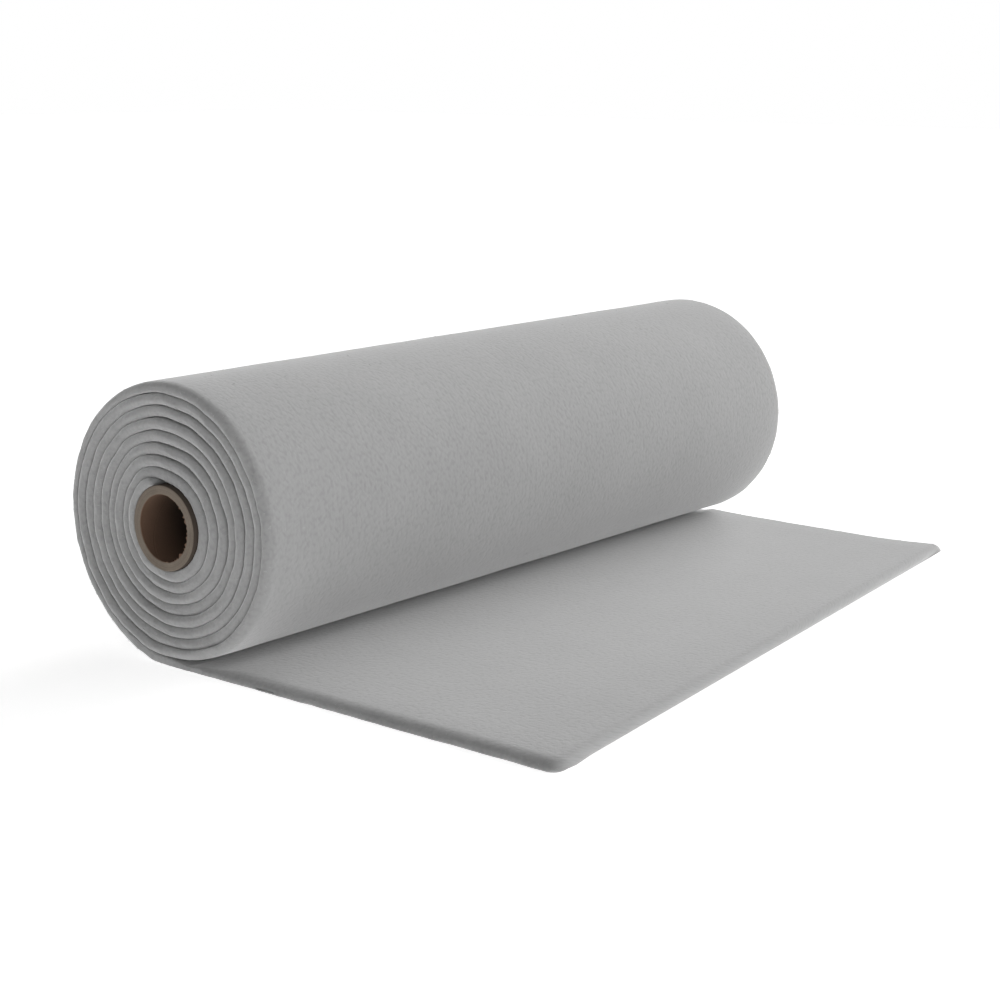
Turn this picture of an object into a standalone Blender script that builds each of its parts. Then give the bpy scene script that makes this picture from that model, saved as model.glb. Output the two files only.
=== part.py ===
"""A roll of thick felt carpet on a cardboard core, its outer end unrolled across the floor.

Metres, +Z up. The roll's axis runs along Y. The origin is on the floor, under the middle of the
axis, and the loose end runs out towards +X. The carpet is one strip: from its inner end on the
core it winds outwards over the top and down the left side (-X), passes under the roll and
lies flat beside it.
"""
import math

import bmesh
import bpy

# Carpet strip
WIDTH = 0.700             # across the strip, so also along the roll
THICKNESS = 0.0079
EDGE_ROUND = 0.0032       # the soft cut edges are rounded over by this much
TURN_GAP = 0.00045        # air between one turn and the next
TURNS = 8.45              # from the inner end to where the strip meets the floor
STEPS_PER_TURN = 40       # divides TURNS evenly, so that the corners of all turns line up

# How the roll sits
SPREAD = 1.018            # the soft roll has settled a little wider than it is high
PRESS = 0.0019            # and its lowest turn is squeezed flat by this much
CORE_DROP = 0.0015        # the core has sunk this far towards the turns below it
CLIMB = 0.07              # the strip climbs over its inner end within this part of a turn either side
FADE_TURNS = 8            # turns over which that climb fades into an even spiral
WANDER = 0.0008           # how far the turns stray sideways from one another
WANDER_TURNS = 2.7        # turns in one sideways swing

# Loose end
LOOSE_NEAR = 0.362        # from under the axis to the free end, along the near edge (-Y)
LOOSE_FAR = 0.286         # the same along the far edge: the end is cut askew
LOOSE_STEPS = 10
CORNER_ROUND = 0.009      # the free corners are rounded over by this much in plan
CURL = 0.0030             # how far the far free corner lifts off the floor
CURL_SHARE = 0.35         # share of the loose end that takes part in the curl

# Cardboard core
CORE_RADIUS = 0.0325
CORE_WALL = 0.0071
CORE_PROUD = 0.0040       # the core stands out of the carpet by this much at each end
CORE_SIDES = 48
CORE_EDGE = 0.0006        # bevel on its cut ends
CORE_GAP = 0.0003         # air between the core and the first turn

PITCH = THICKNESS + TURN_GAP
FULL_RADIUS = CORE_RADIUS + CORE_GAP + PITCH * TURNS + THICKNESS
AXIS_HEIGHT = FULL_RADIUS - PRESS


def smooth_step(value):
    value = min(max(value, 0.0), 1.0)
    return value * value * (3.0 - 2.0 * value)


def pitches_at(turn):
    """How many pitches the strip has climbed away from the core after so many turns."""
    nearest = round(turn)
    stairs = nearest - 1.0 + smooth_step((turn - nearest + CLIMB) / (2.0 * CLIMB))
    even = min(1.0, turn / FADE_TURNS)
    return (1.0 - even) * max(stairs, 0.0) + even * turn


def thickness_at(turn):
    """The strip's thickness, thinner at its inner end, which the next turn presses on."""
    room = PITCH * (pitches_at(turn + 1.0) - pitches_at(turn)) - TURN_GAP
    return min(THICKNESS, room)


def wound_point(turn, share):
    """A point of the wound strip in X and Z. share goes from 0 at its inner surface to 1 outside."""
    pitches = pitches_at(turn)
    radius = CORE_RADIUS + CORE_GAP + PITCH * pitches + share * thickness_at(turn)
    center = AXIS_HEIGHT - CORE_DROP * (1.0 - pitches / TURNS)
    angle = (TURNS - turn) * math.tau
    x = -radius * math.sin(angle) * SPREAD
    z = center - radius * math.cos(angle)
    return x, max(z, 0.0)


def stray(turn):
    """How far this turn lies to one side, along the axis."""
    return WANDER * math.sin(math.tau * turn / WANDER_TURNS)


def section(near, far, shift, inset=0.0, narrow=0.0):
    """The eight corners around the strip's section.

    near and far each hold the inner and the outer surface point at one edge, in X and Z. inset
    thins the section on both surfaces, and narrow takes in both edges.
    """
    flat = inset / THICKNESS
    rounded = max(EDGE_ROUND, inset) / THICKNESS
    heights = (flat, rounded, 1.0 - rounded, 1.0 - flat)
    setbacks = (EDGE_ROUND, 0.0, 0.0, EDGE_ROUND)
    corners = []
    for side, (inner, outer) in ((-1, near), (1, far)):
        edge = []
        for height, setback in zip(heights, setbacks):
            x = inner[0] + (outer[0] - inner[0]) * height
            y = side * (WIDTH / 2 - narrow - setback) + shift
            z = inner[1] + (outer[1] - inner[1]) * height
            edge.append((x, y, z))
        # the far edge runs back down, so that the corners go round
        corners += edge[::-side]
    return corners


def wound_sections():
    """Sections from the strip's inner end on the core to where it meets the floor."""
    sections = []
    for step in range(round(TURNS * STEPS_PER_TURN) + 1):
        turn = step / STEPS_PER_TURN
        pair = wound_point(turn, 0.0), wound_point(turn, 1.0)
        sections.append(section(pair, pair, stray(turn)))
    return sections


def squeezed_sections():
    """Sections beside the flat spot, where the turn above still presses on the strip."""
    sections = []
    turn = TURNS - 1.0
    top = 0.0
    while top < THICKNESS:
        turn += 1.0 / STEPS_PER_TURN
        x, above = wound_point(turn, 1.0)
        top = min(above - TURN_GAP, THICKNESS)
        pair = (x, top), (x, 0.0)
        sections.append(section(pair, pair, stray(TURNS)))
    return sections, x


def loose_pair(length, curl, start, share, back):
    """Top and underside of the loose end at one edge, a share of the way from start to the cut."""
    x = start + (length - back - start) * share
    lift = curl * max(0.0, 1.0 - (1.0 - share) / CURL_SHARE) ** 2
    return (x, lift + THICKNESS), (x, lift)


def loose_sections(start):
    """Sections of the flat end, from start to the askew cut, with its far corner curling up."""
    # share of the way to the cut, distance kept from it, inset, narrow
    rows = [(step / LOOSE_STEPS, CORNER_ROUND, 0.0, 0.0) for step in range(1, LOOSE_STEPS + 1)]
    for angle, inset in ((math.pi / 4, 0.0), (math.pi / 2, EDGE_ROUND)):
        back = CORNER_ROUND * (1.0 - math.sin(angle))
        narrow = CORNER_ROUND * (1.0 - math.cos(angle))
        rows.append((1.0, back, inset, narrow))
    sections = []
    for share, back, inset, narrow in rows:
        near = loose_pair(LOOSE_NEAR, 0.0, start, share, back)
        far = loose_pair(LOOSE_FAR, CURL, start, share, back)
        sections.append(section(near, far, stray(TURNS), inset, narrow))
    return sections


def plain_material(name, color, roughness):
    material = bpy.data.materials.new(name)
    material.use_nodes = True
    shader = material.node_tree.nodes["Principled BSDF"]
    shader.inputs["Base Color"].default_value = (*color, 1.0)
    shader.inputs["Roughness"].default_value = roughness
    shader.inputs["Metallic"].default_value = 0.0
    return material


def add_object(name, mesh, material):
    """Turn a bmesh into a smooth-shaded object of the scene."""
    data = bpy.data.meshes.new(name)
    mesh.to_mesh(data)
    mesh.free()
    data.materials.append(material)
    data.shade_smooth()
    data.set_sharp_from_angle(angle=math.radians(40))
    part = bpy.data.objects.new(name, data)
    bpy.context.scene.collection.objects.link(part)
    return part


def make_carpet():
    """One strip, extruded section by section along its winding and out across the floor."""
    squeezed, start = squeezed_sections()
    sections = wound_sections() + squeezed + loose_sections(start)
    mesh = bmesh.new()
    face = mesh.faces.new([mesh.verts.new(corner) for corner in sections[0]])
    inner_end = face
    for corners in sections[1:]:
        grown = bmesh.ops.extrude_face_region(mesh, geom=[face])
        if face is not inner_end:
            bmesh.ops.delete(mesh, geom=[face], context="FACES_ONLY")
        face = next(item for item in grown["geom"] if isinstance(item, bmesh.types.BMFace))
        for vertex, corner in zip(face.verts, corners):
            vertex.co = corner
    bmesh.ops.recalc_face_normals(mesh, faces=mesh.faces)
    return add_object("carpet", mesh, plain_material("grey felt", (0.43, 0.43, 0.43), 0.95))


def make_core():
    """The wall's profile, spun about the axis of the roll."""
    mesh = bmesh.new()
    end = WIDTH / 2 + CORE_PROUD
    inner = CORE_RADIUS - CORE_WALL
    profile = [
        (inner, -end + CORE_EDGE),
        (inner + CORE_EDGE, -end),
        (CORE_RADIUS - CORE_EDGE, -end),
        (CORE_RADIUS, -end + CORE_EDGE),
        (CORE_RADIUS, end - CORE_EDGE),
        (CORE_RADIUS - CORE_EDGE, end),
        (inner + CORE_EDGE, end),
        (inner, end - CORE_EDGE),
    ]
    corners = [mesh.verts.new((radius, y, 0.0)) for radius, y in profile]
    edges = [mesh.edges.new((a, b)) for a, b in zip(corners, corners[1:] + corners[:1])]
    bmesh.ops.spin(
        mesh, geom=corners + edges, cent=(0, 0, 0), axis=(0, 1, 0),
        angle=math.tau, steps=CORE_SIDES, use_merge=True)
    bmesh.ops.recalc_face_normals(mesh, faces=mesh.faces)
    core = add_object("core", mesh, plain_material("kraft cardboard", (0.27, 0.21, 0.16), 0.85))
    core.location = (0.0, 0.0, AXIS_HEIGHT - CORE_DROP)
    return core


for old in list(bpy.data.objects):
    bpy.data.objects.remove(old)
make_carpet()
make_core()
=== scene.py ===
"""Looks of a roll of thick grey felt carpet on a cardboard core, its outer end lying unrolled.

Metres, +Z up. The roll's axis runs along Y, with its near end at -Y, and the loose end lies
towards +X. The sections follow the order of making: core, carpet, stray fibres, studio.
"""
import math
import random

import bmesh
import bpy
from mathutils import Matrix, Vector, noise


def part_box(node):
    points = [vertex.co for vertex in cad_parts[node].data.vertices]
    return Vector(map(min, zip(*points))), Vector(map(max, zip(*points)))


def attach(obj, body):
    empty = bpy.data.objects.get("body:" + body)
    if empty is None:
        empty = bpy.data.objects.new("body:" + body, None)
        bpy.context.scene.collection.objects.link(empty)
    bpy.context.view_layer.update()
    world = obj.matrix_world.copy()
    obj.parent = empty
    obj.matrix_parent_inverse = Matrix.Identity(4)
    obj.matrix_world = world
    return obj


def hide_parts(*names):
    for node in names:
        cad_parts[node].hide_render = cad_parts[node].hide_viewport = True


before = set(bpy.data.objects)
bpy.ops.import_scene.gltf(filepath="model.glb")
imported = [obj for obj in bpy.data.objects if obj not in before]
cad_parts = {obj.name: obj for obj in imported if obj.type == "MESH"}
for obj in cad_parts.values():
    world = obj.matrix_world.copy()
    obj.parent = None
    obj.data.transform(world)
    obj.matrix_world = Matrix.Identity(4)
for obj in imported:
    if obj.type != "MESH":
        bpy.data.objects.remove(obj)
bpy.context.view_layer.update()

# Cardboard core
# A spiral-wound tube of kraft cardboard that the strip is rolled on. It was sawn to length, so
# its end shows the plies as faint rings, and the saw has torn the lip of the bore on one side.
core_low, core_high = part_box("core")
CORE_HEIGHT = (core_low.z + core_high.z) / 2
CORE_RADIUS = (core_high.z - core_low.z) / 2
CORE_END = core_high.y                # distance of each cut end from the middle of the roll
CORE_WALL = 0.0071
CORE_SIDES = 240
CORE_RINGS = 7                        # points across the wall at each cut end
CORE_LIP = 0.0005                     # rounding of the lips
CORE_GRAIN = 0.00012                  # unevenness of the cut
GRAINS = 900.0                        # bumps of it in a metre
TEAR = 0.0026                         # how far torn fibre hangs into the bore
TEAR_LENGTH = 0.0040                  # length of one tatter round the lip
TEAR_DEPTH = 0.0014                   # how far into the bore the tatters reach
TEAR_SIDE = -0.2                      # they are longest here: radians round the bore, up from +X
TEAR_STRAY = 0.7                      # how unevenly they are spaced
TEAR_POINT = 2.2                      # how narrow and pointed they are
PLY = 0.0011                          # real plies are half of this, too fine to show
PAPER_FIBRE = 0.0016                  # clumps of paper fibre, as coarse as they need to show
SEAM_PITCH = 0.075                    # a paper strip climbs this far in one turn
SEAM_WIDTH = 0.012                    # share of that climb over which the board dips at the seam
STAIN = 0.014                         # size of the paler and darker patches
KRAFT_DARK = "554c42"
KRAFT_LIGHT = "93877a"
KRAFT_OUTSIDE = "463c34"              # a darker brown on the tube's outside surface
KRAFT_BORE_SHADE = "33281f"                 # painted shade: the bore's brown deep inside the tube
KRAFT_MOUTH = "6f5645"                # the bore's brown at both mouths, before the painted shade sets in
MOUTH = 0.045                         # how deep the painted shade in the bore is full
MOUTH_RIM = 0.004                     # and how deep it starts


def linear(code):
    """A hex sRGB colour as the linear numbers that shaders take."""
    channels = (int(code[i:i + 2], 16) / 255 for i in (0, 2, 4))
    color = [((c + 0.055) / 1.055) ** 2.4 if c > 0.04045 else c / 12.92 for c in channels]
    return (*color, 1.0)


def add_node(tree, kind, settings=None, links=None):
    """Add a node. Settings are its properties or its inputs' values, links its inputs' sources."""
    node = tree.nodes.new(kind)
    for name, value in (settings or {}).items():
        if isinstance(name, int) or name in node.inputs:
            node.inputs[name].default_value = value
        else:
            setattr(node, name, value)
    for name, source in (links or {}).items():
        tree.links.new(source, node.inputs[name])
    return node


def new_material(name, settings):
    """A material with its surface shader's settings; returns it, its node tree and the shader."""
    material = bpy.data.materials.new(name)
    material.use_nodes = True
    tree = material.node_tree
    shader = tree.nodes["Principled BSDF"]
    for socket, value in settings.items():
        shader.inputs[socket].default_value = value
    return material, tree, shader


def kraft_cardboard():
    """Dull brown board. Ply rings and paper fibre mottle it, and a seam winds along the bore."""
    material, tree, shader = new_material("spiral-wound kraft cardboard", {"Roughness": 0.88})
    place = add_node(tree, "ShaderNodeTexCoord")
    centred = add_node(
        tree, "ShaderNodeMapping", {"Location": (0.0, 0.0, -CORE_HEIGHT)},
        {"Vector": place.outputs["Object"]})
    parts = add_node(tree, "ShaderNodeSeparateXYZ", None, {0: centred.outputs[0]})
    flat = add_node(
        tree, "ShaderNodeCombineXYZ", None, {"X": parts.outputs["X"], "Z": parts.outputs["Z"]})
    radius = add_node(tree, "ShaderNodeVectorMath", {"operation": "LENGTH"}, {0: flat.outputs[0]})
    plies = add_node(
        tree, "ShaderNodeTexNoise", {"noise_dimensions": "1D", "Scale": 1 / PLY, "Detail": 1.0},
        {"W": radius.outputs["Value"]})
    fibres = add_node(
        tree, "ShaderNodeTexNoise", {"Scale": 1 / PAPER_FIBRE, "Detail": 4.0, "Roughness": 0.65},
        {"Vector": centred.outputs[0]})
    angle = add_node(
        tree, "ShaderNodeMath", {"operation": "ARCTAN2"},
        {0: parts.outputs["Z"], 1: parts.outputs["X"]})
    turns = add_node(
        tree, "ShaderNodeMath", {"operation": "MULTIPLY", 1: 1 / math.tau}, {0: angle.outputs[0]})
    climb = add_node(
        tree, "ShaderNodeMath", {"operation": "MULTIPLY_ADD", 1: 1 / SEAM_PITCH},
        {0: parts.outputs["Y"], 2: turns.outputs[0]})
    lap = add_node(
        tree, "ShaderNodeMath", {"operation": "PINGPONG", 1: 0.5}, {0: climb.outputs[0]})
    seam = add_node(
        tree, "ShaderNodeMapRange", {"From Min": 0.0, "From Max": SEAM_WIDTH}, {"Value": lap.outputs[0]})
    stains = add_node(
        tree, "ShaderNodeTexNoise", {"Scale": 1 / STAIN, "Detail": 1.0}, {"Vector": centred.outputs[0]})
    fine = add_node(
        tree, "ShaderNodeMix", {"data_type": "FLOAT", 0: 0.55},
        {2: plies.outputs[0], 3: fibres.outputs[0]})
    mottle = add_node(
        tree, "ShaderNodeMix", {"data_type": "FLOAT", 0: 0.4},
        {2: fine.outputs[0], 3: stains.outputs[0]})
    cut = add_node(
        tree, "ShaderNodeMix", {"data_type": "RGBA", 6: linear(KRAFT_DARK), 7: linear(KRAFT_LIGHT)},
        {0: mottle.outputs[0]})
    middle = CORE_RADIUS - CORE_WALL / 2
    across = add_node(
        tree, "ShaderNodeMath", {"operation": "SUBTRACT", 1: middle}, {0: radius.outputs["Value"]})
    limits = {"From Min": CORE_WALL / 2 - CORE_LIP, "From Max": CORE_WALL / 2 - 0.2 * CORE_LIP}
    outside = add_node(tree, "ShaderNodeMapRange", limits, {"Value": across.outputs[0]})
    inward = add_node(
        tree, "ShaderNodeMath", {"operation": "MULTIPLY", 1: -1.0}, {0: across.outputs[0]})
    bore = add_node(tree, "ShaderNodeMapRange", limits, {"Value": inward.outputs[0]})
    away = add_node(tree, "ShaderNodeMath", {"operation": "ABSOLUTE"}, {0: parts.outputs["Y"]})
    # Painted shade: inside the bore the brown darkens with depth from each mouth, as light falls off
    # down the tube.
    bore_unshaded = add_node(
        tree, "ShaderNodeMapRange",
        {"From Min": CORE_END - MOUTH, "From Max": CORE_END - MOUTH_RIM},
        {"Value": away.outputs[0]})
    bore_shading = add_node(
        tree, "ShaderNodeMix", {"data_type": "RGBA", 6: linear(KRAFT_BORE_SHADE), 7: linear(KRAFT_MOUTH)},
        {0: bore_unshaded.outputs[0]})
    with_bore_shading = add_node(
        tree, "ShaderNodeMix", {"data_type": "RGBA"},
        {0: bore.outputs[0], 6: cut.outputs[2], 7: bore_shading.outputs[2]})
    color = add_node(
        tree, "ShaderNodeMix", {"data_type": "RGBA", 7: linear(KRAFT_OUTSIDE)},
        {0: outside.outputs[0], 6: with_bore_shading.outputs[2]})
    tree.links.new(color.outputs[2], shader.inputs["Base Color"])
    height = add_node(
        tree, "ShaderNodeMath", {"operation": "MULTIPLY"}, {0: mottle.outputs[0], 1: seam.outputs[0]})
    bump = add_node(
        tree, "ShaderNodeBump", {"Strength": 0.6, "Distance": 0.0005}, {"Height": height.outputs[0]})
    tree.links.new(bump.outputs[0], shader.inputs["Normal"])
    return material


def core_profile():
    """Radius and Y of the points round half a section of the wall, from the bore to the outside."""
    inner = CORE_RADIUS - CORE_WALL
    points = [(inner, 0.0)]
    points += [(inner, CORE_END * share) for share in (0.5, 0.8, 0.92, 0.97, 0.99)]
    points += [(inner, CORE_END - TEAR_DEPTH * share) for share in (1.0, 0.66)]
    points += [(inner, CORE_END - CORE_LIP), (inner + CORE_LIP, CORE_END)]
    for ring in range(1, CORE_RINGS):
        points.append((inner + CORE_LIP + (CORE_WALL - 2 * CORE_LIP) * ring / CORE_RINGS, CORE_END))
    points += [(CORE_RADIUS - CORE_LIP, CORE_END), (CORE_RADIUS, CORE_END - CORE_LIP)]
    points.append((CORE_RADIUS, 0.0))
    return points


def ripple(x, y, z):
    """Smooth noise at a place, from about -1 to 1."""
    return noise.noise(Vector((x, y, z)))


def weather_core(corner):
    """Move a corner of the tube as the saw left it."""
    inner = CORE_RADIUS - CORE_WALL
    radius = math.hypot(corner.x, corner.z)
    depth = CORE_END - abs(corner.y)
    angle = math.atan2(corner.z, corner.x)
    if depth < TEAR_DEPTH:
        rough = noise.noise(corner * GRAINS)
        corner.y -= math.copysign(CORE_GRAIN * (1.0 + rough), corner.y)
    if radius < inner + 1.5 * CORE_LIP and depth < TEAR_DEPTH and corner.y < 0.0:
        # the tatters hang on the side of the bore that faces the loose end
        side = max(0.0, math.cos(angle - TEAR_SIDE)) ** 0.6
        place = angle * inner / TEAR_LENGTH
        place += TEAR_STRAY * ripple(place * 0.6, 3.1, 0.0)
        tooth = abs(place - round(place))
        tatter = max(0.0, 1.0 - TEAR_POINT * tooth) * (0.6 + ripple(place * 0.9, 8.2, 0.0))
        fall = 1.0 - depth / TEAR_DEPTH
        shrink = TEAR * side * tatter * fall / radius
        corner.x *= 1.0 - shrink
        corner.z *= 1.0 - shrink


mesh = bmesh.new()
half = core_profile()
whole = half + [(radius, -y) for radius, y in half[-2:0:-1]]
corners = [mesh.verts.new((radius, y, 0.0)) for radius, y in whole]
edges = [mesh.edges.new(pair) for pair in zip(corners, corners[1:] + corners[:1])]
bmesh.ops.spin(
    mesh, geom=corners + edges, cent=(0, 0, 0), axis=(0, 1, 0), angle=math.tau,
    steps=CORE_SIDES, use_merge=True)
for corner in mesh.verts:
    weather_core(corner.co)
bmesh.ops.translate(mesh, verts=mesh.verts, vec=(0.0, 0.0, CORE_HEIGHT))
bmesh.ops.recalc_face_normals(mesh, faces=mesh.faces)


def add_piece(name, mesh, material, node=None):
    """Make a bmesh a smooth-shaded piece that rides on the part's body."""
    data = bpy.data.meshes.new(name)
    mesh.to_mesh(data)
    mesh.free()
    data.materials.append(material)
    data.shade_smooth()
    piece = bpy.data.objects.new(name, data)
    bpy.context.scene.collection.objects.link(piece)
    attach(piece, "root")
    if node:
        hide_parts(node)
    return piece


core_tube = add_piece("core_tube", mesh, kraft_cardboard(), "core")
core_tube.data.set_sharp_from_angle(angle=math.radians(50))

# Felt carpet
# One strip of needle-punched felt, nearly 8 mm thick, wound on the core and left lying at its
# outer end. Knives cut its edges, which stay soft: inside the roll they are pressed flat against
# one another, and where nothing presses on them they are full and round.
WIDTH = 0.700
THICKNESS = 0.0079
TURN_GAP = 0.00045
TURNS = 8.45                          # from the inner end to where the strip meets the floor
SPREAD = 1.018                        # the soft roll has settled a little wider than it is high
PRESS = 0.0019                        # its lowest turn is squeezed flat by this much
CORE_DROP = 0.0015                    # the core has sunk this far towards the turns below it
CORE_GAP = 0.0003
CLIMB = 0.07                          # the strip climbs over its inner end within this part of a turn
FADE_TURNS = 8                        # turns over which that climb fades into an even spiral
WANDER = 0.0008                       # how far the turns stray sideways from one another
WANDER_TURNS = 2.7
LOOSE_NEAR = 0.362                    # from under the axis to the free end, along the near edge
LOOSE_FAR = 0.286                     # the same along the far edge
CORNER_ROUND = 0.009                  # rounding of the free corners in plan
CURL = 0.0030                         # how far the far free corner lifts off the floor
CURL_SHARE = 0.35

ROW_LENGTH = 0.0032                   # the strip's mesh has a row this often where it is wound
LOOSE_ROWS = 72
CORNER_ROWS = 12
INNER_COLUMNS = 8                     # columns across its inner face, seen only on the loose end
OUTER_COLUMNS = 24                    # and across its outer face
ARC_COLUMNS = 6                       # columns round each corner of its section
OUTER_FADE = 0.04                     # the last turn comes out from the one before within this part
BOARD_FADE = 0.15                     # last part of the first turn, where the board stops backing it
LYING_FADE = 0.12                     # part of a turn within which the strip comes to lie
FREE_FADE = 0.12                      # share of the loose end within which its top comes free
# Each rounding of a cut edge: how far it goes along the width and the thickness, and how blunt it
# is, where 2 is an ellipse and more is squarer.
PRESSED = (0.0028, 0.0039, 1.7)       # between two turns
BACKED = (0.0009, 0.0018, 1.8)        # on the board, and behind the outermost turn
FREE = (0.0078, 0.0056, 2.15)         # on the outside of the roll
LOOSE_TOP = (0.0120, 0.0064, 2.0)     # on top of the loose end
LOOSE_BASE = (0.0016, 0.0014, 2.0)    # and against the floor
TOP_REACH = 0.090                     # how far from under the axis the one on top is full
SWELL = 0.000225                      # how far each face swells into the gap at the cut edges
PACKING = (0.90, 1.2)                 # the share of it that is reached, and how that varies
EDGE_REACH = 0.10                     # share of the half width that swells, frays and wavers
TELESCOPE = 0.0008                    # how far single turns stand in or out, over and above WANDER
DRAWN_OUT = 0.0042                    # how far the first turn has slid out with the core
DRAWN_TURNS = 2.2                     # turns within which that fades
FRAY = 0.0006                         # unevenness of the cut edges
WAVER = 0.0010                        # how far the lines between the turns waver at the cut edges
WAVERS = 45.0                         # how often in a metre
WAVER_REACH = 0.010                   # how far in it is full, from the core and from the outside
WAVER_MARGIN = 0.003                  # this much on the outside keeps still
CREASE = 0.0034                       # air under the roll where the strip leaves it
CREASE_REACH = 0.022                  # growing to that within this distance from under the axis
DIP = (0.0023, 0.0004)                # how far the roll's weight dents the strip there, near and far
DIP_REACH = 0.035                     # and how far along the strip the dent reaches
RELIEF = 0.00025                      # unevenness of the faces that show

FELT_DARK = "8f8f8f"
FELT_LIGHT = "a8a8a8"
STRAND = (0.0130, 0.0017)             # tufts of fibre; one fibre is 0.03 mm wide, too fine to show
LEANS = (9.0, -31.0, 64.0)            # degrees from the strip's length, for three layers of strands
PIT = 0.0034                          # needle holes are 0.6 mm, drawn as coarse as they need to show
CLOUD = 0.080                         # size of the faint clouds that uneven fibre leaves
PIT_SHARE = 0.20                      # how much of the pattern the needle holes make
CLOUD_SHARE = 0.25

PITCH = THICKNESS + TURN_GAP
FULL_RADIUS = CORE_RADIUS + CORE_GAP + PITCH * TURNS + THICKNESS
AXIS_HEIGHT = FULL_RADIUS - PRESS


def smooth_step(value):
    value = min(max(value, 0.0), 1.0)
    return value * value * (3.0 - 2.0 * value)


def pitches_at(turn):
    """How many pitches the strip has climbed away from the core after so many turns."""
    nearest = round(turn)
    stairs = nearest - 1.0 + smooth_step((turn - nearest + CLIMB) / (2.0 * CLIMB))
    even = min(1.0, turn / FADE_TURNS)
    return (1.0 - even) * max(stairs, 0.0) + even * turn


def thickness_at(turn):
    """The strip's thickness, thinner at its inner end, which the next turn presses on."""
    room = PITCH * (pitches_at(turn + 1.0) - pitches_at(turn)) - TURN_GAP
    return min(THICKNESS, room)


def wound_point(turn, share):
    """A point of the wound strip in X and Z. share goes from 0 at its inner surface to 1 outside."""
    pitches = pitches_at(turn)
    radius = CORE_RADIUS + CORE_GAP + PITCH * pitches + share * thickness_at(turn)
    center = AXIS_HEIGHT - CORE_DROP * (1.0 - pitches / TURNS)
    angle = (TURNS - turn) * math.tau
    x = -radius * math.sin(angle) * SPREAD
    z = center - radius * math.cos(angle)
    return x, max(z, 0.0)


def stray(turn):
    """How far this turn lies to one side, along the axis."""
    own = TELESCOPE * ripple(turn * 1.15, 4.7, 0.0)
    drawn = DRAWN_OUT * max(0.0, 1.0 - turn / DRAWN_TURNS) ** 2
    return WANDER * math.sin(math.tau * turn / WANDER_TURNS) + own - drawn


def mix(first, second, share):
    """Each number of first moved a share of the way to that of second."""
    return tuple(a + (b - a) * share for a, b in zip(first, second))


def row(near, far, shift, outer, free, roundings, narrow=0.0):
    """A row of the strip: inner and outer point at each edge, and how free it lies.

    outer goes from 0 inside the roll to 1 outside, and is -1 past the roll. free goes from 0 where
    something presses on the face that shows to 1 where nothing does. roundings are those of the
    inner and the outer corners of the section.
    """
    return {
        "near": near, "far": far, "shift": shift, "outer": outer, "free": free,
        "roundings": roundings, "narrow": narrow}


def wound_rows():
    """Rows from the inner end on the core to where the strip meets the floor."""
    turns = [0.0]
    while turns[-1] < TURNS:
        radius = CORE_RADIUS + PITCH * (turns[-1] + 0.5)
        turns.append(turns[-1] + ROW_LENGTH / (math.tau * radius))
    turns = [turn * TURNS / turns[-1] for turn in turns]
    rows = []
    for turn in turns:
        pair = wound_point(turn, 0.0), wound_point(turn, 1.0)
        outer = smooth_step((turn - TURNS + 1.0 + OUTER_FADE) / (2.0 * OUTER_FADE))
        backed = max(outer, 1.0 - smooth_step((turn - 1.0 + BOARD_FADE) / BOARD_FADE))
        lying = smooth_step((turn - TURNS + LYING_FADE) / LYING_FADE)
        roundings = (
            mix(PRESSED, BACKED, backed), mix(mix(PRESSED, FREE, outer), LOOSE_BASE, lying))
        rows.append(row(pair, pair, stray(turn), outer, outer, roundings))
    return rows


def squeezed_rows():
    """Rows beside the flat spot, where the turn above still presses on the strip."""
    rows = []
    turn = TURNS - 1.0
    room = 0.0
    while room < THICKNESS - min(DIP):
        turn += ROW_LENGTH / (math.tau * FULL_RADIUS)
        x, above = wound_point(turn, 1.0)
        room = above - TURN_GAP - CREASE * smooth_step(x / CREASE_REACH)
        near, far = (((x, min(room, THICKNESS - dip)), (x, 0.0)) for dip in DIP)
        roundings = mix(BACKED, LOOSE_TOP, smooth_step(x / TOP_REACH)), LOOSE_BASE
        rows.append(row(near, far, stray(TURNS), -1.0, 0.0, roundings))
    return rows, x


def loose_pair(length, curl, dip, start, share, back, thin):
    """Top and underside of the loose end at one edge, a share of the way from start to the cut."""
    x = start + (length - back - start) * share
    lift = curl * max(0.0, 1.0 - (1.0 - share) / CURL_SHARE) ** 2
    top = THICKNESS - LOOSE_TOP[1] * thin - dip * (1.0 - smooth_step((x - start) / DIP_REACH))
    base = (THICKNESS - LOOSE_TOP[1]) * thin
    return (x, lift + top), (x, lift + base)


def loose_rows(start):
    """Rows of the flat end, from start to the askew cut, which is rounded over all along."""
    places = [(step / LOOSE_ROWS, CORNER_ROUND, 0.0) for step in range(1, LOOSE_ROWS + 1)]
    for step in range(1, CORNER_ROWS + 1):
        angle = step / CORNER_ROWS * math.pi / 2
        back = CORNER_ROUND * (1.0 - math.sin(angle))
        narrow = CORNER_ROUND * (1.0 - math.cos(angle))
        places.append((1.0, back, narrow))
    rows = []
    for share, back, narrow in places:
        inside = back / CORNER_ROUND
        thin = 1.0 - (1.0 - (1.0 - inside) ** LOOSE_TOP[2]) ** (1.0 / LOOSE_TOP[2])
        near = loose_pair(LOOSE_NEAR, 0.0, DIP[0], start, share, back, thin)
        far = loose_pair(LOOSE_FAR, CURL, DIP[1], start, share, back, thin)
        free = smooth_step(share / FREE_FADE) * (1.0 - thin)
        roundings = mix(BACKED, LOOSE_TOP, smooth_step(near[0][0] / TOP_REACH)), LOOSE_BASE
        rows.append(row(near, far, stray(TURNS), -1.0, free, roundings, narrow))
    return rows


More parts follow.
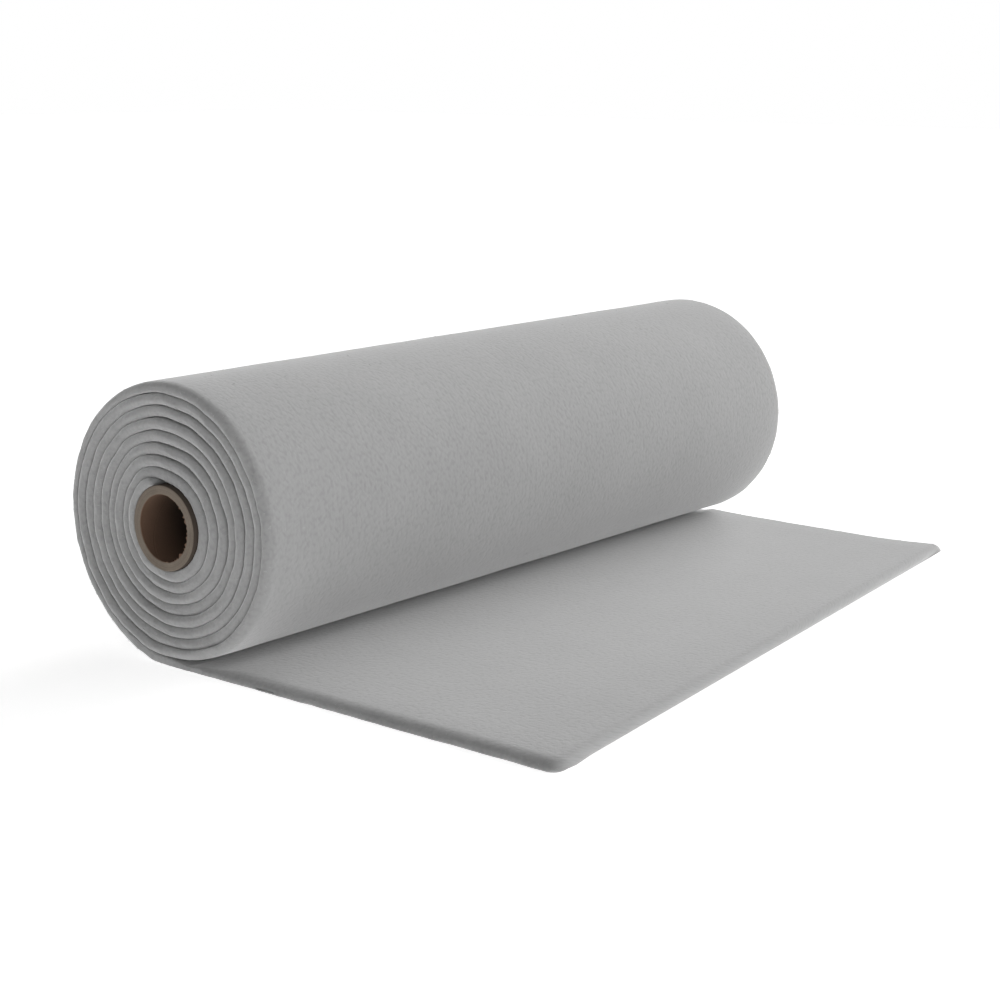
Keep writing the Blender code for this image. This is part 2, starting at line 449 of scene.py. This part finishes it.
def section_columns():
    """Points round the section: place across from -1 to 1, quarter that it rounds, share of it."""
    inner = [2.0 * step / INNER_COLUMNS for step in range(INNER_COLUMNS // 2)] + [1.0 - EDGE_REACH]
    outer = [2.0 * step / OUTER_COLUMNS - 1.0 for step in range(1, OUTER_COLUMNS)]
    arc = [step / ARC_COLUMNS for step in range(ARC_COLUMNS + 1)]
    columns = [(-across, "inner", 0.0) for across in inner]
    columns += [(-1.0, "inner", share) for share in arc]
    columns += [(-1.0, "outer", 1.0 - share) for share in arc]
    columns += [(across, "outer", 0.0) for across in outer]
    columns += [(1.0, "outer", share) for share in arc]
    columns += [(1.0, "inner", 1.0 - share) for share in arc]
    columns += [(across, "inner", 0.0) for across in inner[::-1]]
    return columns


def near_edge(across):
    """From 0 over most of the strip's width up to 1 at its cut edges."""
    return smooth_step((abs(across) - 1.0 + EDGE_REACH) / EDGE_REACH)


def raised(station, along, across, quarter):
    """How far a face stands out: uneven where it shows, swollen into the gap at the cut edges."""
    loose = station["outer"] < 0.0
    if loose == (quarter == "inner"):
        uneven = ripple(along * 16.0, across * 7.0, 2.0)
        uneven += 0.5 * ripple(along * 45.0, across * 20.0, 6.0)
        relief = RELIEF * station["free"] * uneven
    else:
        relief = 0.0
    if loose:
        return relief
    # each face has its own unevenness
    layer = 9.0 if quarter == "outer" else 5.0
    packed = PACKING[0] + PACKING[1] * ripple(along * 22.0, across, layer)
    pressed = 1.0 - station["outer"] if quarter == "outer" else 1.0
    return relief + SWELL * near_edge(across) * pressed * min(max(packed, 0.0), 1.0)


def place_corner(station, along, column):
    """Where a corner of the strip's mesh goes."""
    across, quarter, share = column
    edge = (across + 1.0) / 2.0
    inner, outer = (
        [a + (b - a) * edge for a, b in zip(station["near"][i], station["far"][i])] for i in (0, 1))
    thickness = math.dist(inner, outer)
    inner_round, outer_round = station["roundings"]
    deep, reach, blunt = inner_round if quarter == "inner" else outer_round
    angle = share * math.pi / 2
    setback = deep * (1.0 - math.sin(angle) ** (2.0 / blunt)) if abs(across) == 1.0 else 0.0
    depth = reach * (1.0 - math.cos(angle) ** (2.0 / blunt)) * thickness / THICKNESS
    swollen = depth - raised(station, along, across, quarter)
    height = swollen / max(thickness, 1e-6)
    if quarter == "outer":
        height = 1.0 - height
    edge_share = near_edge(across)
    frayed = FRAY * ripple(along * 80.0, across * 3.0, height * 1.5)
    frayed += 0.6 * FRAY * ripple(along * 210.0, across * 5.0, height * 4.0)
    y = across * (WIDTH / 2 - station["narrow"] - setback + frayed * edge_share) + station["shift"]
    x = inner[0] + (outer[0] - inner[0]) * height
    z = inner[1] + (outer[1] - inner[1]) * height
    if station["outer"] >= 0.0:
        # the same at the same place, so that neighbouring turns keep their distance
        radius = math.hypot(x, z - AXIS_HEIGHT)
        room = min(radius - CORE_RADIUS, FULL_RADIUS - radius - WAVER_MARGIN)
        waver = WAVER * edge_share * smooth_step(room / WAVER_REACH)
        waver *= ripple(x * WAVERS, across, z * WAVERS)
        x *= 1.0 + waver / radius
        z = max(z + (z - AXIS_HEIGHT) * waver / radius, 0.0)
    return x, y, z


rows = wound_rows()
last_wound = len(rows) - 1
squeezed, start = squeezed_rows()
rows += squeezed + loose_rows(start)
columns = section_columns()
middles = []
for station in rows:
    points = station["near"] + station["far"]
    middles.append(Vector([sum(values) / 4 for values in zip(*points)]))
lengths = [0.0]
for last, middle in zip(middles, middles[1:]):
    lengths.append(lengths[-1] + (middle - last).length)
WOUND_LENGTH = lengths[last_wound]
spots = [
    [place_corner(station, along, column) for column in columns]
    for station, along in zip(rows, lengths)]
middle_column = columns.index((0.0, "outer", 0.0))
widths = []
for section in spots:
    around = [0.0]
    for last, spot in zip(section, section[1:]):
        around.append(around[-1] + math.dist(last, spot))
    widths.append([width - around[middle_column] for width in around])

mesh = bmesh.new()
bmesh.ops.create_grid(mesh, x_segments=len(rows) - 1, y_segments=len(columns) - 1, size=1.0)
places = {}
for corner in mesh.verts:
    places[corner] = (
        round((corner.co.x + 1.0) / 2.0 * (len(rows) - 1)),
        round((corner.co.y + 1.0) / 2.0 * (len(columns) - 1)))
strip_map = mesh.loops.layers.uv.new("strip")
for face in mesh.faces:
    for loop in face.loops:
        i, j = places[loop.vert]
        loop[strip_map].uv = (lengths[i], widths[i][j])
for corner, (i, j) in places.items():
    corner.co = spots[i][j]
bmesh.ops.remove_doubles(mesh, verts=mesh.verts, dist=1e-6)
bmesh.ops.holes_fill(mesh, edges=mesh.edges)
bmesh.ops.recalc_face_normals(mesh, faces=mesh.faces)


def needled_felt():
    """Matt grey felt: tangled strands lean along the strip, with small pits left by needling."""
    material, tree, shader = new_material("needle-punched felt", {
        "Roughness": 0.95, "Specular IOR Level": 0.2, "Sheen Weight": 1.0, "Sheen Roughness": 0.5})
    strip = add_node(tree, "ShaderNodeUVMap", {"uv_map": "strip"})

    def pattern(size, lean, detail, twist, shift):
        """Noise on the strip's own map, in cells of the given length and width that lean aside."""
        scaled = add_node(
            tree, "ShaderNodeMapping", {
                "vector_type": "TEXTURE", "Location": (shift, shift, 0.0),
                "Rotation": (0.0, 0.0, math.radians(lean)), "Scale": (*size, 1.0)},
            {"Vector": strip.outputs[0]})
        return add_node(
            tree, "ShaderNodeTexNoise",
            {"Scale": 1.0, "Detail": detail, "Roughness": 0.6, "Distortion": twist},
            {"Vector": scaled.outputs[0]}).outputs[0]

    def combine(operation, first, second):
        """Work on two values, each a number or a node's output."""
        settings = {i: value for i, value in enumerate((first, second)) if isinstance(value, float)}
        links = {i: value for i, value in enumerate((first, second)) if not isinstance(value, float)}
        return add_node(
            tree, "ShaderNodeMath", {"operation": operation, **settings}, links).outputs[0]

    strands = [pattern(STRAND, lean, 1.5, 0.9, 3.0 * lean) for lean in LEANS]
    tangle = combine("ADD", strands[0], combine("ADD", strands[1], strands[2]))
    tangle = combine("MULTIPLY", tangle, 1.0 / len(LEANS))
    pits = add_node(
        tree, "ShaderNodeMapRange",
        {"interpolation_type": "SMOOTHSTEP", "From Min": 0.20, "From Max": 0.60},
        {"Value": pattern((PIT, PIT), 0.0, 0.0, 0.0, 7.3)}).outputs[0]
    clouds = pattern((CLOUD, CLOUD), 0.0, 2.0, 0.0, 3.9)
    # The felt's grey follows the bump's height, so it is darker where the bump dips, in the needle pits
    # and between strands: painted shade, mixed with the felt's own uneven tone from the clouds.
    surface = combine(
        "ADD", combine("MULTIPLY", tangle, 1.0 - PIT_SHARE), combine("MULTIPLY", pits, PIT_SHARE))
    shade = add_node(
        tree, "ShaderNodeMix", {"data_type": "FLOAT", 0: CLOUD_SHARE},
        {2: surface, 3: clouds})
    spread = add_node(
        tree, "ShaderNodeMapRange", {"From Min": 0.30, "From Max": 0.80},
        {"Value": shade.outputs[0]})
    color = add_node(
        tree, "ShaderNodeMix", {"data_type": "RGBA", 6: linear(FELT_DARK), 7: linear(FELT_LIGHT)},
        {0: spread.outputs[0]})
    tree.links.new(color.outputs[2], shader.inputs["Base Color"])
    bump = add_node(
        tree, "ShaderNodeBump", {"Strength": 0.25, "Distance": 0.0016}, {"Height": surface})
    tree.links.new(bump.outputs[0], shader.inputs["Normal"])
    return material


FIBRES_ABOVE = 0.003                  # no stray fibres grow this close to the floor
EDGE_BAND = 0.010                     # faces of a cut edge are this close to it
SIDEWAYS = 0.3                        # and their normals point along the roll at least this much
UNDERSIDE = -0.8                      # under the roll, normals point down more than this


def shows(face):
    """Whether a face of the strip carries fibres: the cut edges and the outermost turn do."""
    centre = face.calc_center_median()
    if centre.z < FIBRES_ABOVE:
        return False
    if abs(centre.y) > WIDTH / 2 - EDGE_BAND and abs(face.normal.y) > SIDEWAYS:
        return True
    along, across = face.loops[0][strip_map].uv
    outermost = WOUND_LENGTH - math.tau * FULL_RADIUS < along < WOUND_LENGTH
    return outermost and abs(across) < WIDTH / 2 and face.normal.z > UNDERSIDE


open_faces = [
    (tuple(corner.co.copy() for corner in face.verts), face.normal.copy(), face.calc_area())
    for face in mesh.faces if shows(face)]
carpet_strip = add_piece("carpet_strip", mesh, needled_felt(), "carpet")

# Stray fibres
# Short ends of polyester fibre that needling and cutting have left standing out of the felt. They
# blur its outline, and most of them stand on the cut edges.
EDGE_FIBRES = 2200
FACE_FIBRES = 700
FIBRE_LENGTH = (0.0014, 0.0036)
FIBRE_ROOT = 0.0003                   # how deep a fibre starts under the surface
FIBRE_RADIUS = 0.00010                # real ones are 0.015 mm, too fine to show
FIBRE_POINTS = 4
FIBRE_BEND = 0.7                      # how far it bends aside, as a share of its length
EDGE_LIFT = (0.5, 1.6)                # how steeply fibres stand on the cut edges
FACE_LIFT = (0.15, 0.6)               # and on the outermost turn
FIBRE_TONE = 0.002                    # length over which their grey changes
FIBRE_GREY = "a4a4a4"
FIBRE_PALE = "c2c2c2"


def loose_polyester():
    """Loose fibre ends, a little paler than the felt because they catch the light one by one."""
    material, tree, shader = new_material("loose polyester fibre", {
        "Roughness": 0.7, "Sheen Weight": 0.5, "Sheen Roughness": 0.5})
    place = add_node(tree, "ShaderNodeTexCoord")
    tone = add_node(
        tree, "ShaderNodeTexNoise", {"Scale": 1 / FIBRE_TONE, "Detail": 1.0},
        {"Vector": place.outputs["Object"]})
    color = add_node(
        tree, "ShaderNodeMix", {"data_type": "RGBA", 6: linear(FIBRE_GREY), 7: linear(FIBRE_PALE)},
        {0: tone.outputs[0]})
    tree.links.new(color.outputs[2], shader.inputs["Base Color"])
    return material


def fibre_points(rng, corners, normal, lift):
    """The points along one bent fibre that starts somewhere on a face and leans over."""
    shares = [rng.random() for corner in corners]
    root = sum((corner * share for corner, share in zip(corners, shares)), Vector()) / sum(shares)
    aside = Vector([rng.gauss(0.0, 1.0) for axis in range(3)])
    aside = (aside - normal * aside.dot(normal)).normalized()
    bend = normal.cross(aside) * rng.uniform(-FIBRE_BEND, FIBRE_BEND) - normal * lift * 0.5
    length = rng.uniform(*FIBRE_LENGTH)
    heading = (aside + normal * lift).normalized()
    points = []
    for step in range(FIBRE_POINTS):
        share = step / (FIBRE_POINTS - 1)
        point = root - normal * FIBRE_ROOT + (heading * share + bend * share * share) * length
        point.z = max(point.z, 2.0 * FIBRE_RADIUS)
        points.append(point)
    return points


rng = random.Random(7)
cut_edges = [face for face in open_faces if abs(face[1].y) > SIDEWAYS]
broad_faces = [face for face in open_faces if abs(face[1].y) <= SIDEWAYS]
curve = bpy.data.curves.new("stray_fibres", "CURVE")
curve.dimensions = "3D"
curve.bevel_depth = FIBRE_RADIUS
curve.bevel_resolution = 0
for faces, count, lifts in (
        (cut_edges, EDGE_FIBRES, EDGE_LIFT), (broad_faces, FACE_FIBRES, FACE_LIFT)):
    for corners, normal, area in rng.choices(faces, weights=[face[2] for face in faces], k=count):
        points = fibre_points(rng, corners, normal, rng.uniform(*lifts))
        spline = curve.splines.new("POLY")
        spline.points.add(len(points) - 1)
        for spot, point in zip(spline.points, points):
            spot.co = (*point, 1.0)
tube = bpy.data.objects.new("fibre_curve", curve)
mesh = bmesh.new()
mesh.from_mesh(tube.to_mesh())
bpy.data.objects.remove(tube)
bmesh.ops.recalc_face_normals(mesh, faces=mesh.faces)
add_piece("stray_fibres", mesh, loose_polyester())

# Studio
# A wide white table, lit from below, and four broad soft lamps that stand far enough off to
# light it evenly. The camera is where the photograph's stood.
FLOOR_SIZE = 12.0                     # from its middle to its edges
FLOOR_DROP = 0.0002                   # keeps it clear of the felt's underside
FLOOR_WHITE = "f4f4f4"
FLOOR_GLOW = 0.68
AMBIENT = 0.02
LAMP_DISTANCE = 3.0                   # makes no difference to such a lamp's light
# name, degrees round from the front towards +X, degrees up, degrees across, strength
LAMPS = (
    ("front_lamp", 45.0, 25.0, 40.0, 0.50),
    ("side_lamp", 130.0, 18.0, 75.0, 1.56),
    ("back_lamp", 180.0, 25.0, 40.0, 1.78),
    ("top_lamp", 0.0, 90.0, 100.0, 0.38))
CAMERA_PLACE = (1.0791, -1.3100, 0.4454)
CAMERA_YAW = 38.55                    # degrees, as the next two
CAMERA_PITCH = 12.47
CAMERA_ROLL = 0.43
LENS = 71.26

mesh = bmesh.new()
bmesh.ops.create_grid(mesh, x_segments=1, y_segments=1, size=FLOOR_SIZE)
data = bpy.data.meshes.new("floor")
mesh.to_mesh(data)
mesh.free()
# Opal acrylic lit from below is an even white that shows no lamp, and only a faint shadow.
floor_material, tree, shader = new_material("lit opal acrylic", {
    "Base Color": linear(FLOOR_WHITE), "Roughness": 0.9, "Emission Color": (1.0, 1.0, 1.0, 1.0),
    "Emission Strength": FLOOR_GLOW})
data.materials.append(floor_material)
floor = bpy.data.objects.new("floor", data)
floor.location.z = -FLOOR_DROP
bpy.context.scene.collection.objects.link(floor)

world = bpy.data.worlds.new("white studio")
bpy.context.scene.world = world
world.use_nodes = True
tree = world.node_tree
background = tree.nodes["Background"]
path = add_node(tree, "ShaderNodeLightPath")
strength = add_node(
    tree, "ShaderNodeMix", {"data_type": "FLOAT", 2: AMBIENT, 3: 1.0},
    {0: path.outputs["Is Camera Ray"]})
tree.links.new(strength.outputs[0], background.inputs["Strength"])
background.inputs["Color"].default_value = (1.0, 1.0, 1.0, 1.0)

for name, around, height, spread, strength in LAMPS:
    light = bpy.data.lights.new(name, "SUN")
    light.energy = strength
    light.angle = math.radians(spread)
    lamp = bpy.data.objects.new(name, light)
    around, height = math.radians(around), math.radians(height)
    outwards = math.cos(height)
    place = Vector((math.sin(around) * outwards, -math.cos(around) * outwards, math.sin(height)))
    lamp.location = place * LAMP_DISTANCE
    lamp.rotation_euler = place.to_track_quat("Z", "Y").to_euler()
    bpy.context.scene.collection.objects.link(lamp)

camera_data = bpy.data.cameras.new("camera")
camera_data.lens = LENS
camera = bpy.data.objects.new("camera", camera_data)
camera.matrix_world = (
    Matrix.Translation(CAMERA_PLACE)
    @ Matrix.Rotation(math.radians(CAMERA_YAW), 4, "Z")
    @ Matrix.Rotation(math.radians(90.0 - CAMERA_PITCH), 4, "X")
    @ Matrix.Rotation(math.radians(CAMERA_ROLL), 4, "Z"))
bpy.context.scene.collection.objects.link(camera)
bpy.context.scene.camera = camera
bpy.context.scene.view_settings.view_transform = "Standard"
